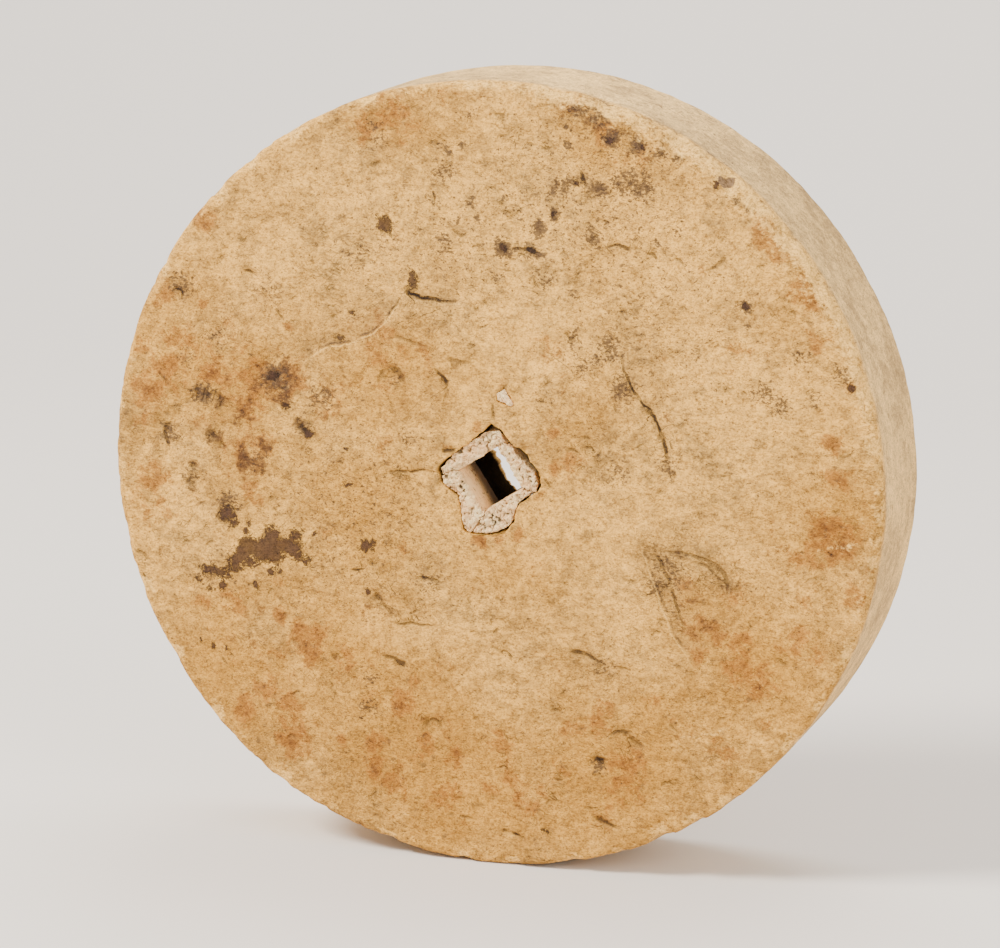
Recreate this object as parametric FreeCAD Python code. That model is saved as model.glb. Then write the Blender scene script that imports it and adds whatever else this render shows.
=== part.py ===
import FreeCAD, Part

import math
import os

# A sandstone grindstone wheel. Millimetres. The origin is the wheel's centre, half way through its
# thickness. The spindle's axis is +Y, the front face looks towards -Y, and the wheel stands on its
# rim with +Z up. Angles are counted anticlockwise as the front face is seen, from +X towards +Z.

# The stone
WHEEL_DIAMETER = 420.0
WHEEL_THICKNESS = 78.0
FRONT_ARRIS_RADIUS = 5.0
BACK_ARRIS_RADIUS = 4.0

# The square eye cut right through the stone for the spindle. It is a little off the axis.
EYE_SIDE = 40.4
EYE_TURN = 41.5
EYE_CENTRE = (-0.5, 1.0)
EYE_CORNER_RADIUS = 1.5

# The eye's bottom corner is broken out at the front. The outline starts and ends inside the eye, and
# its points are (x, z) from that corner.
BREAKOUT_OUTLINE = [(-19.0, 19.0), (-14.0, 11.0), (-12.0, -1.0), (8.0, -1.0), (14.0, 5.0), (17.0, 15.0)]
BREAKOUT_DEPTH = 22.0

# The mortar packing that was poured round the square spindle, and has cracked at its four corners
SPINDLE_SIDE = 25.4
SPINDLE_TURN = 33.0
PACKING_RECESS = 1.5
PACKING_LENGTH = 28.0
CRACK_WIDTH = 0.6

# Mortar shrinks away from the stone by this much
MORTAR_SHRINKAGE = 0.3

# A dab of the same mortar in a pit above the eye. Its points are (x, z) from the pit's middle.
PIT_CENTRE = (8.5, 45.0)
PIT_OUTLINE = [(-4.0, 1.5), (0.0, 4.2), (1.8, 1.0), (5.2, -3.4), (3.6, -5.0), (-3.8, -2.0)]
PIT_DEPTH = 4.0
DAB_BELOW_FACE = 0.3

FRONT = -WHEEL_THICKNESS / 2
BACK = WHEEL_THICKNESS / 2
PAST_FACE = 1.0
SPINDLE_AXIS = (0.0, 0.0)
PACKING_NAMES = ["packing_upper_right", "packing_upper_left", "packing_lower_left", "packing_lower_right"]


def corners(side, turn, centre):
    """The four corners (x, z) of a square, anticlockwise, its upper one first."""
    reach = side / math.sqrt(2)
    angles = [math.radians(turn + 45 + 90 * k) for k in range(4)]
    return [(centre[0] + reach * math.cos(a), centre[1] + reach * math.sin(a)) for a in angles]


def outline(points, grow=0.0):
    """A closed wire through (x, z) points in the plane y = 0, moved outwards by grow."""
    loop = [FreeCAD.Vector(x, 0, z) for x, z in points]
    wire = Part.makePolygon(loop + loop[:1])
    if grow:
        wire = wire.makeOffset2D(grow)
    return wire


def prism(wire, front, back):
    """The solid between y = front and y = back whose section is the wire."""
    face = Part.Face(wire)
    face.translate(FreeCAD.Vector(0, front, 0))
    return face.extrude(FreeCAD.Vector(0, back - front, 0))


def eye_prism(front, back, shrink=0.0):
    """The square eye, smaller all round by shrink, with its four long edges rounded."""
    square = corners(EYE_SIDE - 2 * shrink, EYE_TURN, EYE_CENTRE)
    solid = prism(outline(square), front, back)
    long_edges = [e for e in solid.Edges if abs(e.Length - (back - front)) < 1e-6]
    return solid.makeFillet(EYE_CORNER_RADIUS, long_edges)


def breakout_prism(front, back, shrink=0.0):
    """The broken-out bottom corner of the eye, smaller all round by shrink."""
    corner_x, corner_z = corners(EYE_SIDE, EYE_TURN, EYE_CENTRE)[2]
    points = [(corner_x + x, corner_z + z) for x, z in BREAKOUT_OUTLINE]
    return prism(outline(points, -shrink), front, back)


def pit_points():
    return [(PIT_CENTRE[0] + x, PIT_CENTRE[1] + z) for x, z in PIT_OUTLINE]


def stone_wheel():
    """The quarried disc with worn arrises, its eye, the broken corner and the pit."""
    disc = Part.makeCylinder(
        WHEEL_DIAMETER / 2, WHEEL_THICKNESS, FreeCAD.Vector(0, FRONT, 0), FreeCAD.Vector(0, 1, 0)
    )
    front_edge = [e for e in disc.Edges if e.Closed and abs(e.CenterOfMass.y - FRONT) < 1e-6]
    disc = disc.makeFillet(FRONT_ARRIS_RADIUS, front_edge)
    back_edge = [e for e in disc.Edges if e.Closed and abs(e.CenterOfMass.y - BACK) < 1e-6]
    disc = disc.makeFillet(BACK_ARRIS_RADIUS, back_edge)
    eye = eye_prism(FRONT - PAST_FACE, BACK + PAST_FACE)
    breakout = breakout_prism(FRONT - PAST_FACE, FRONT + BREAKOUT_DEPTH)
    pit = prism(outline(pit_points(), MORTAR_SHRINKAGE), FRONT - PAST_FACE, FRONT + PIT_DEPTH)
    return disc.cut([eye, breakout, pit])


def packing_block():
    """The mortar that fills the front of the eye and its broken corner, round the spindle's hole."""
    front = FRONT + PACKING_RECESS
    back = front + PACKING_LENGTH
    filled = eye_prism(front, back, MORTAR_SHRINKAGE)
    broken = breakout_prism(front, FRONT + BREAKOUT_DEPTH - MORTAR_SHRINKAGE, MORTAR_SHRINKAGE)
    spindle = prism(outline(corners(SPINDLE_SIDE, SPINDLE_TURN, SPINDLE_AXIS)), FRONT, BACK)
    return filled.fuse(broken).cut(spindle).removeSplitter()


def crack(angle):
    """A thin slab from the axis outwards, where the packing has parted."""
    half = CRACK_WIDTH / 2
    reach = EYE_SIDE
    slab = Part.makeBox(reach, WHEEL_THICKNESS, CRACK_WIDTH, FreeCAD.Vector(0, FRONT, -half))
    slab.rotate(FreeCAD.Vector(0, 0, 0), FreeCAD.Vector(0, 1, 0), -angle)
    return slab


def packing_pieces():
    """The four pieces of packing, each named for the side of the spindle that it lies on."""
    crack_angles = [SPINDLE_TURN + 45 + 90 * k for k in range(4)]
    parted = packing_block().cut([crack(angle) for angle in crack_angles])
    pieces = {}
    for solid in parted.Solids:
        middle = solid.CenterOfMass
        turned = math.degrees(math.atan2(middle.z, middle.x)) - crack_angles[3]
        pieces[PACKING_NAMES[int(turned % 360 // 90)]] = solid
    return pieces


def mortar_dab():
    """The dab on the floor of its pit, just below the face."""
    return prism(outline(pit_points()), FRONT + DAB_BELOW_FACE, FRONT + PIT_DEPTH)


def write(name, shape):
    if not shape.isValid():
        raise ValueError(name + " isn't a valid shape")
    shape.exportStep("parts/" + name + ".step")
    print(name, len(shape.Solids), "solid", round(shape.Volume / 1000, 2), "cm3")


os.makedirs("parts", exist_ok=True)
write("stone_wheel", stone_wheel())
for piece_name, piece in sorted(packing_pieces().items()):
    write(piece_name, piece)
write("mortar_dab", mortar_dab())
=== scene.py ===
import itertools
import math
import bpy
import numpy as np
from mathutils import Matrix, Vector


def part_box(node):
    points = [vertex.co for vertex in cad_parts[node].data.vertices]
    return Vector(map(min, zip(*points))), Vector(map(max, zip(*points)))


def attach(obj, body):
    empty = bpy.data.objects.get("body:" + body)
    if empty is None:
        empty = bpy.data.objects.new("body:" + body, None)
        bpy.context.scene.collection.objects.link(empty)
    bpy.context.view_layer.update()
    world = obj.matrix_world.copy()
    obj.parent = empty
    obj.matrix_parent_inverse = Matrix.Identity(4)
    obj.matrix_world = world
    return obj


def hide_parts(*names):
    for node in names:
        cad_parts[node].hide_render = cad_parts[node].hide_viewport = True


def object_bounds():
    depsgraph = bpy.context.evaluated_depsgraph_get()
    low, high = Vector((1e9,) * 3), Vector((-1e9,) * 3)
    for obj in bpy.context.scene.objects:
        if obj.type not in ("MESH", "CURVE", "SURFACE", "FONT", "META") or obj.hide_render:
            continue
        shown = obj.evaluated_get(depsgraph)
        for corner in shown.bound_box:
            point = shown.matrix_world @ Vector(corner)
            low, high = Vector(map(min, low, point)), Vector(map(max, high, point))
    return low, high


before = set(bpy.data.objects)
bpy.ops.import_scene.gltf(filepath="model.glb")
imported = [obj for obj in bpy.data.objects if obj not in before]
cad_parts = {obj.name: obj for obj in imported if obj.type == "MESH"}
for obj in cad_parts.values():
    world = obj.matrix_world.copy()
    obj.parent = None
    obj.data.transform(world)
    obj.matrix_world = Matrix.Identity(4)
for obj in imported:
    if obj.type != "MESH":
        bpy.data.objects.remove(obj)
cad_low, cad_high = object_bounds()
# The stone and the mortar are worked out in millimetres, and turned to metres as meshes are made.
MM = 0.001

# ---------------------------------------------------------------------------------------------------
# The stone's shape.
# One block of buff sandstone, quarried, dressed flat by hand and worn true on its rim by grinding.
# A square eye was chiselled through it; the arrises and the eye's mouth have since spalled and chipped.

WHEEL_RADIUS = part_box("stone_wheel")[1].x / MM
FACE_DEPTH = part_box("stone_wheel")[1].y / MM
EYE_SIDE = 40.4
EYE_TURN = 41.5
EYE_CENTRE = (-0.5, 1.0)
# Where the chiselled mouth has broken, from the top corner anticlockwise, in millimetres from the axis
EYE_MOUTH = [
    (0.9, 30), (-2.6, 26.6), (-11.1, 19.4), (-17.5, 14.4), (-23.1, 10), (-28, 5.2),
    (-28.5, 2.6), (-26.3, -2.8), (-22.3, -6.4), (-17.8, -9.8), (-16.7, -13.2), (-15.3, -21.2),
    (-14.7, -27.4), (-12.7, -29.2), (-1.5, -29.3), (4.9, -28.2), (10.3, -25), (13.7, -20.4),
    (14.6, -15.2), (16.9, -10.6), (21, -7.8), (26.5, -4.6), (28.3, -0.8), (25.9, 6),
    (21.9, 11.8), (17.7, 17.6), (13.9, 18.9), (11.3, 21.4), (6.5, 26.8),
]
MOUTH_WEAR = 1.0
COLUMNS = 584
FACE_RINGS, ARRIS_RINGS, RIM_RINGS, BACK_ARRIS_RINGS, BACK_RINGS, EYE_RINGS = 104, 11, 18, 6, 17, 13


def waves(points, cell, seed):
    """Gradient noise from about -1 to 1: random slopes on a lattice of that cell, blended smoothly."""
    chance = np.random.default_rng(seed)
    order = np.tile(chance.permutation(256), 2)
    slopes = chance.normal(size=(256, 3))
    slopes /= np.linalg.norm(slopes, axis=1)[:, None]
    place = points / cell
    low = np.floor(place).astype(int)
    part = place - low
    fade = part**3 * (part * (part * 6 - 15) + 10)
    total = np.zeros(len(points))
    for corner in itertools.product((0, 1), repeat=3):
        at = (low + corner) % 256
        pick = order[order[order[at[:, 0]] + at[:, 1]] + at[:, 2]]
        share = np.prod(np.where(corner, fade, 1 - fade), axis=1)
        total += share * np.sum(slopes[pick] * (part - corner), axis=1)
    return total * 1.6


def rough(points, cell, seed, octaves=4, fall=0.5):
    """Waves on waves, each half as long as the last and weaker by fall."""
    return sum(fall**k * waves(points, cell / 2**k, seed + k) for k in range(octaves))


def step(value, low, high):
    """0 below low, 1 above high, with a smooth rise between."""
    share = np.clip((value - low) / (high - low), 0, 1)
    return share * share * (3 - 2 * share)


def hump(angle, middle, width):
    """1 where the angle is middle degrees, dying away over width degrees to each side."""
    return np.exp(-(((angle - math.radians(middle)) / math.radians(width)) ** 2))


def square(side, turn, centre):
    """The corners of a square, anticlockwise from its top one."""
    angles = np.radians(turn + 45 + 90 * np.arange(4))
    return np.array(centre) + side / math.sqrt(2) * np.stack([np.cos(angles), np.sin(angles)], 1)


def outwards(angle):
    """The way out from the axis at an angle."""
    return np.stack([np.cos(angle), 0 * angle, np.sin(angle)], -1)


def reach(outline, angle):
    """How far a ray from the axis at that angle goes before it meets a closed outline round it."""
    start = np.asarray(outline, float)
    bearing = np.arctan2(start[:, 1], start[:, 0]) % math.tau
    start = start[np.argsort(bearing)]
    bearing = np.sort(bearing)
    edge = np.searchsorted(bearing, angle % math.tau, side="right") - 1
    a, b = start[edge], start[(edge + 1) % len(start)]
    along = b - a
    ray_x, ray_z = np.cos(angle), np.sin(angle)
    return (a[..., 0] * b[..., 1] - a[..., 1] * b[..., 0]) / (ray_x * along[..., 1] - ray_z * along[..., 0])


def column_angles(outline, count):
    """Angles all the way round, with one at each corner of the outline and even steps between."""
    bearing = np.sort(np.arctan2(outline[:, 1], outline[:, 0]) % math.tau)
    gaps = np.diff(np.append(bearing, bearing[0] + math.tau))
    shares = np.maximum(1, np.round(gaps / math.tau * count).astype(int))
    shares[np.argmax(shares)] += count - shares.sum()
    return np.concatenate([a + g * np.arange(n) / n for a, g, n in zip(bearing, gaps, shares)])


def closed_grid(name, points, wrap_rings):
    """A mesh from a grid of points [ring, column, xyz] that closes round its columns. Its rings close
    on each other too, or else each end ring closes on its own middle."""
    rings, columns = points.shape[:2]
    ring_count = rings if wrap_rings else rings - 1
    i, j = np.meshgrid(np.arange(ring_count), np.arange(columns), indexing="ij")
    after, beside = (i + 1) % rings, (j + 1) % columns
    first, second = i * columns, after * columns
    quads = np.stack([first + j, second + j, second + beside, first + beside], -1)
    faces = quads.reshape(-1, 4).tolist()
    vertices = points.reshape(-1, 3)
    if not wrap_rings:
        ends = [(0, points[0].mean(0), 1), (rings - 1, points[-1].mean(0), -1)]
        for ring, middle, way in ends:
            tip = len(vertices)
            vertices = np.vstack([vertices, middle])
            around = ring * columns + np.arange(columns)
            pair = np.stack([around, np.roll(around, -1), np.full(columns, tip)], 1)[:, ::way]
            faces += pair.tolist()
    mesh = bpy.data.meshes.new(name)
    mesh.from_pydata((vertices * MM).tolist(), [], faces)
    mesh.polygons.foreach_set("use_smooth", np.ones(len(mesh.polygons), bool))
    mesh.update()
    piece = bpy.data.objects.new(name, mesh)
    bpy.context.scene.collection.objects.link(piece)
    return piece


def add_layer(piece, name, *values):
    """Stores three values per vertex as one colour layer that a material can read. The two middles that
    close a grid's ends come last and hold 0."""
    layer = piece.data.attributes.new(name, "FLOAT_COLOR", "POINT")
    table = np.zeros((len(piece.data.vertices), 4), np.float32)
    table[:, 3] = 1
    for k, value in enumerate(values):
        table[: len(value), k] = value
    layer.data.foreach_set("color", table.ravel())


def stone_profile():
    """The stone before it wore: for each ring and column, a point, the way out of the stone there, and
    how much of it is front face, front arris, rim, back and eye wall. The rings run from the mouth of
    the eye over the front face, the front arris, the rim, the back arris and the back, and through the
    eye to the front again. A ring on a face lies a share of the way from the eye to the arris."""
    mouth = np.array(EYE_MOUTH)
    eye = square(EYE_SIDE, EYE_TURN, EYE_CENTRE)
    angle = column_angles(np.vstack([mouth, eye[2:3]]), COLUMNS)
    ones = np.ones(len(angle))
    out = outwards(angle)
    forward = np.array([0.0, -1.0, 0.0])
    round_trip = WHEEL_RADIUS * out

    # The wheel is a little out of round, and flattest where it stands.
    uneven = 0.7 * rough(round_trip, 150, 11, 3) + 0.22 * rough(round_trip, 22, 12, 3)
    standing = step(np.abs((angle - 0.5 * math.pi) % math.tau - math.pi), 0.0, 0.5)
    heel = 1.6 * hump(angle, 236, 18)
    rim = WHEEL_RADIUS + (uneven + heel + 1.5 * np.cos(angle) ** 2 - 0.4) * standing
    # It swells towards the back on its right.
    swell = 1.4 * np.clip(np.cos(angle - math.radians(12)), 0, 1) ** 1.5 * standing
    # The front arris is broken back furthest over the upper right.
    patchy = 0.5 + 0.5 * rough(round_trip, 30, 13, 3)
    arris = 2.6 + 4.2 * hump(angle, 52, 34) + 2.6 * patchy
    back_arris = 4.5 + 1.5 * rough(round_trip, 40, 14, 2)

    mouth_reach = reach(mouth, angle) + MOUTH_WEAR + 0.5 * rough(30 * out, 4, 15, 3)
    eye_reach = reach(eye, angle)
    # The far mouth was never cut square: it stands proud at its left corner and has spalled below that.
    bearings = (164, 178, 190, 204, 215, 228, 250, 268)
    spalled = np.interp(np.degrees(angle), bearings, (0, -5.0, -4.0, -2.4, -0.8, 0.8, 0.4, 0))
    spalled += 1.1 * np.sign(spalled) ** 2 * rough(30 * out, 4, 16, 3)
    parts = []

    share = np.linspace(0, 1, FACE_RINGS)
    share = share - 0.42 * np.sin(math.tau * share) / math.tau
    for w in share:
        parts.append((mouth_reach * (1 - w) + (rim - arris) * w, -FACE_DEPTH * ones, forward, 0))
    for turn in np.linspace(0, math.pi / 2, ARRIS_RINGS + 1)[1:]:
        way = out * math.sin(turn) + forward * math.cos(turn)
        depth = arris * (1 - math.cos(turn)) - FACE_DEPTH
        parts.append((rim - arris * (1 - math.sin(turn)), depth, way, 1))
    for w in np.linspace(0, 1, RIM_RINGS + 1)[1:]:
        depth = (arris - FACE_DEPTH) * (1 - w) + (FACE_DEPTH - back_arris) * w
        parts.append((rim + swell * w, depth, out, 2))
    for turn in np.linspace(0, math.pi / 2, BACK_ARRIS_RINGS + 1)[1:]:
        way = out * math.cos(turn) - forward * math.sin(turn)
        depth = FACE_DEPTH - back_arris * (1 - math.sin(turn))
        parts.append((rim + swell - back_arris * (1 - math.cos(turn)), depth, way, 3))
    for w in np.linspace(1, 0, BACK_RINGS + 1)[1:]:
        far_mouth = eye_reach + spalled + 1.5
        outer = rim + swell - back_arris
        parts.append((far_mouth * (1 - w) + outer * w, FACE_DEPTH * ones, -forward, 3))
    for w in np.linspace(1, 0, EYE_RINGS + 1)[1:]:
        depth = (FACE_DEPTH - 1) * (2 * w - 1)
        broken = step(-depth, FACE_DEPTH - 20, FACE_DEPTH - 3)
        wall = eye_reach * (1 - broken) + (mouth_reach - MOUTH_WEAR) * broken
        wall = wall + spalled * step(depth, FACE_DEPTH - 16, FACE_DEPTH)
        parts.append((wall, depth * ones, -out, 4))

    points = np.stack([r[:, None] * out - y[:, None] * forward for r, y, way, kind in parts])
    ways = np.stack([np.broadcast_to(way, out.shape) for r, y, way, kind in parts])
    kinds = np.stack([np.full(len(angle), kind) for r, y, way, kind in parts])
    return points, ways, kinds


stone_points, stone_ways, stone_kinds = stone_profile()
grid_shape = stone_points.shape
place = stone_points.reshape(-1, 3)
outward = stone_ways.reshape(-1, 3)
kind = stone_kinds.ravel()
on_front = (kind == 0).astype(float)
on_arris = (kind == 1).astype(float)
on_rim = (kind == 2).astype(float)
at_x, at_y, at_z = place.T
from_axis = np.hypot(at_x, at_z)
bearing_of = np.arctan2(at_z, at_x)
near_front = step(-at_y, FACE_DEPTH - 14, FACE_DEPTH - 1)

# Marks on the front face are placed from the axis in millimetres, x to the right and z up. The stone's
# grain makes every line wander, so marks are read at a place that is shifted a little by noise.
wander_x = at_x + 1.1 * rough(place, 9, 21, 3)
wander_z = at_z + 1.1 * rough(place, 9, 31, 3)


def beside(line):
    """Signed distance in millimetres to a line of points, positive on its left, and 0 to 1 along it."""
    line = np.array(line, float)
    lengths = np.linalg.norm(np.diff(line, axis=0), axis=1)
    nearest = np.full(len(place), 1e9)
    signed, along = np.zeros(len(place)), np.zeros(len(place))
    for k, (a, b) in enumerate(zip(line[:-1], line[1:])):
        way = (b - a) / lengths[k]
        dx, dz = wander_x - a[0], wander_z - a[1]
        run = np.clip(dx * way[0] + dz * way[1], 0, lengths[k])
        off_x, off_z = dx - run * way[0], dz - run * way[1]
        far = np.hypot(off_x, off_z)
        closer = far < nearest
        nearest = np.where(closer, far, nearest)
        side = np.sign(way[0] * dz - way[1] * dx)
        signed = np.where(closer, side * far, signed)
        along = np.where(closer, (lengths[:k].sum() + run) / lengths.sum(), along)
    return signed, along


def spot(x, z, width, height=None, lean=0.0):
    """1 at a place on the face, falling smoothly to 0 at an oval of that half width and half height."""
    dx, dz = wander_x - x, wander_z - z
    c, s = math.cos(math.radians(lean)), math.sin(math.radians(lean))
    far = np.hypot((dx * c + dz * s) / width, (dz * c - dx * s) / (height or width))
    return 1 - step(far, 0.0, 1.0)


# Thin cracks and grooves, cut in and drawn dark with dirt and painted shade: points, width in millimetres,
# how strongly they show
CRACKS = [
    ([(97, 14), (96, 23), (91, 35), (88, 43), (82, 48), (79, 52), (73, 62), (71, 74)], 1.3, 1),
    ([(-46.6, 101), (-44, 96.8), (-40, 96.5), (-36.9, 95.2), (-25, 93.3), (-17, 92.8)], 1.7, 1.1),
    ([(-55, 84), (-51, 90), (-47, 98)], 0.9, 0.4),
    ([(-21.8, 49.6), (-25, 53.6), (-29.8, 57.4)], 1.5, 1),
    ([(-22.2, 49), (-23.4, 43), (-25.4, 37)], 1, 0.3),
    ([(-57, 0.4), (-41, 1.4), (-34, 2.8), (-28, 2)], 0.9, 0.75),
    ([(-26, 13.4), (-20, 13.6), (-16, 16)], 1.2, 0.9),
    ([(44, -88), (51, -89.4), (58, -91.6), (65, -95.6)], 1.8, 0.8),
    ([(71, -96), (78, -97)], 1, 0.5),
    ([(-46, -104), (-53, -101), (-61, -99)], 1.8, 0.85),
    ([(12.6, -94.6), (8.5, -91.2), (4.6, -92.6)], 1.4, 0.8),
    ([(-53, -81), (-40, -81.6), (-25, -81)], 1, 0.55),
    ([(77.8, -130.8), (73, -130.4), (69, -131.1), (65.2, -134.2)], 1.2, 0.75),
    ([(78, -132.4), (81, -135.3), (86, -138)], 2.4, 0.55),
    ([(7.5, -190.8), (14, -192), (20, -194.4)], 1.3, 0.9),
    ([(59, -178), (66, -181), (73, -183)], 1.8, 0.85),
    ([(-37, -136.5), (-33, -132.6), (-29, -133), (-25, -137)], 1.4, 0.6),
    ([(-40, -55), (-33, -55.4), (-23.6, -57)], 1.4, 0.6),
    ([(-64, -66), (-58, -72), (-54, -79)], 1.7, 0.75),
    ([(-11.7, -64), (-9.8, -69)], 1, 0.7),
    ([(-76, -54), (-72, -53.5), (-69, -52)], 0.9, 0.8),
    ([(76.6, 126.2), (69, 127.4), (61.4, 126)], 1.3, 0.85),
    ([(90.4, 120.8), (88, 124.2), (83, 124.4)], 1.1, 0.65),
    ([(126.8, 124.8), (121.6, 119.4), (113.6, 115.6)], 1.6, 0.5),
    ([(-137, 103), (-133, 104.4), (-129, 102)], 1.2, 0.8),
    ([(-176, 93), (-172, 91.4), (-172, 86)], 1.4, 0.8),
    ([(52, 21.6), (56, 21.4), (58.6, 18)], 0.9, 0.7),
    ([(52.2, 158), (50.2, 161.4), (48.4, 166)], 1.3, 0.8),
    ([(-15, -185), (-8, -186.6)], 0.9, 0.5),
    ([(-47, -25.6), (-41, -29.6)], 0.9, 0.5),
    ([(-154, -107.6), (-148, -113)], 1.1, 0.6),
    ([(-201, -64), (-192, -69)], 1.2, 0.6),
    ([(2, 41), (2.6, 36), (3.4, 31)], 1, 0.6),
    ([(30, 3), (33, -1), (36, -3)], 0.9, 0.5),
    ([(-47.8, 48.6), (-48.6, 51.8), (-51.4, 54.8), (-56.4, 57)], 2.6, 0.6),
    ([(-60.6, 51), (-59.6, 54.4), (-56.6, 56.4)], 2.2, 0.5),
    ([(-49, 48.4), (-51.6, 47.2), (-55, 47.8)], 1.2, 0.35),
    ([(-52.4, 73.8), (-46, 72.4), (-38, 70), (-31, 67.8)], 1.2, 0.45),
    ([(-22.2, 63.2), (-15, 62.6), (-5.4, 62.8)], 1.8, 0.45),
    ([(-20, 61), (-18, 59.8), (-15.6, 60.2)], 1.1, 0.45),
    ([(64.4, -146.8), (60.8, -146), (57.6, -146.6)], 2.4, 1.1),
    ([(-181, 20), (-183, 14), (-180.4, 9), (-179, 3.6)], 2, 0.7),
    ([(-163, 41), (-163.4, 31)], 1.6, 0.55),
    ([(-157.6, 40), (-157, 31)], 1.6, 0.6),
    ([(-150, 37), (-150.4, 28)], 1.7, 0.6),
    ([(-156.6, 16.6), (-154.6, 14), (-152, 13.6)], 1.6, 0.6),
    ([(-168.6, -4.4), (-165.6, -2.6), (-163, -3)], 1.7, 0.6),
    ([(-170, -11.6), (-166.6, -13), (-164.6, -16)], 1.7, 0.5),
    ([(-160, -47), (-157.6, -44.8), (-154.4, -44.4)], 1.1, 0.6),
    ([(-173.6, -47), (-171, -45), (-168, -46)], 1, 0.55),
    ([(-201, -52), (-196.4, -54), (-191, -60)], 1.6, 0.5),
    ([(-106, 23.4), (-103.4, 21), (-99.6, 17)], 2.2, 0.75),
    ([(9.6, 138), (13.6, 141), (19.6, 145.4)], 1.8, 0.45),
    ([(91, -32), (97, -44), (102, -58), (108, -75)], 1.5, 0.65),
    ([(131, -50), (127, -40), (117, -33.6), (104, -30.6), (92, -32)], 1.6, 0.6),
    ([(112, -36), (119, -38), (125, -44)], 1.4, 0.6),
    ([(29, 121.4), (22.4, 123.6), (10.6, 123.2)], 1.7, 0.8),
    ([(-9.4, 123), (-2, 125)], 1.2, 0.35),
]
# Ledges where a flake has come away: the hollow is on the line's left, that deep at the ledge, and
# runs out that far from it
LEDGES = [
    ([(-104, 57), (-98, 61), (-87, 67.5), (-75, 70), (-66, 74), (-59, 80), (-53, 87), (-48, 96)], 1, 34, 1),
    ([(-47, 99.5), (-44, 97.3), (-36, 95.4), (-25, 93.6), (-12, 92.6)], 0.9, 16, 0.9),
    ([(111, -90), (105, -81), (101, -75), (97, -66), (93, -53), (88, -42), (84, -28)], -0.9, 40, 0.8),
    ([(71, 76), (73, 62), (79, 52), (88, 43), (91, 35), (97, 16)], 0.6, 22, 0.35),
    ([(130, -57), (130, -46), (116, -36), (100, -32)], 0.6, 22, 0.4),
    ([(64, -138), (70, -131.4), (77, -131), (88, -139)], -0.8, 18, 0.3),
    ([(-64, -98), (-53, -101), (-44, -105)], -0.8, 20, 0.2),
    ([(42, -88), (58, -91.6), (80, -97)], -0.9, 24, 0.2),
    ([(-55, -80), (-25, -81)], -0.5, 18, 0.2),
    ([(5, -190.5), (22, -195)], -0.6, 12, 0.1),
    ([(-60, -0.5), (-41, 1.4), (-28, 2.4)], 0.5, 14, 0.15),
    ([(-150, 118), (-128, 128), (-108, 146)], -0.5, 26, 0.15),
    ([(-178, -14), (-162, -30), (-150, -22)], 0.7, 18, 0.2),
    ([(-150, 62), (-138, 50), (-118, 58)], -0.7, 20, 0.15),
    ([(128, 84), (142, 92), (150, 108)], 0.5, 24, 0.2),
]
# Hollows: x, z, radius, depth
HOLLOWS = [
    (61, -149.5, 6.5, 2.2), (-53.5, 51.6, 6.5, 1.9), (-32, -137, 7, 1.3), (8, -96, 7, 1),
    (125, -131, 3, 1.4), (-67, -131, 4, 1.2), (140, -126, 3, 1), (-173, 88, 6, 1.2),
    (-133, 101.5, 5.5, 1.2), (118, 110, 30, 0.8), (-130, -110, 40, 0.9), (20, 150, 55, 0.8),
    (-160, 90, 30, 0.7), (10, -160, 40, 0.7), (60, 20, 30, 0.5), (-90, 20, 35, 0.6), (76, -138, 12, 0.9),
    (-56, 132, 3.2, 0.8), (150.4, -120.4, 2, 0.8), (32.6, -188, 1.8, 0.9), (136, 101, 2, 0.7),
]
SCRATCHES = [
    ([(-109, 132), (-102, 127)], 0.8), ([(172, -25.4), (186, -23.4), (202, -21.2)], 0.9),
    ([(98, -133.4), (118, -127.6), (140, -121.6)], 1), ([(150, -21), (166, -28)], 0.9),
    ([(-112, 62), (-111, 57)], 1.3), ([(-186, -1.4), (-172, -1.6)], 0.9),
]

# Small nicks from the mason's point, scattered over the face and mostly lying along the bedding
chance = np.random.default_rng(5)
for count in range(300):
    far, turn = 195 * math.sqrt(chance.uniform(0.06, 1)), chance.uniform(0, math.tau)
    lean, half, bend = chance.normal(-0.1, 0.5), chance.uniform(1.2, 4.0), chance.uniform(-0.9, 0.9)
    mid = np.array([far * math.cos(turn), far * math.sin(turn)])
    way = half * np.array([math.cos(lean), math.sin(lean)])
    side = bend * np.array([-way[1], way[0]])
    nick = [tuple(mid - way), tuple(mid + side), tuple(mid + way)]
    CRACKS.append((nick, chance.uniform(0.7, 1.2), chance.uniform(0.15, 0.55)))

hollow = 0.95 * rough(place, 95, 41, 3) + 0.95 * rough(place, 24, 44, 3)
near_rim = step(from_axis, WHEEL_RADIUS - 12, WHEEL_RADIUS - 1)
relief = (-np.abs(hollow) * 0.6 + hollow * 0.4) * (1 - 0.7 * near_rim)
crack_offset = np.full(len(place), 30.0)
crack_show = np.zeros(len(place))
groove = np.zeros(len(place))
for line, width, show in CRACKS:
    signed, along = beside(line)
    fade = step(along, 0.0, 0.10) * (1 - step(along, 0.60, 1.0)) * 0.85 + 0.15 * (along > 0) * (along < 1)
    width = width * (1.2 - 0.6 * along)
    nearer = np.abs(signed) < np.abs(crack_offset)
    crack_show = np.where(nearer, show * fade, crack_show)
    crack_offset = np.where(nearer, signed / width, crack_offset)
    groove = np.maximum(groove, show * fade * np.exp(-((signed / (1.1 * width)) ** 2)))
relief -= 0.95 * groove * on_front

# Each flake's hollow is also darkened in colour, most near its ledge: painted shade.
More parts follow.
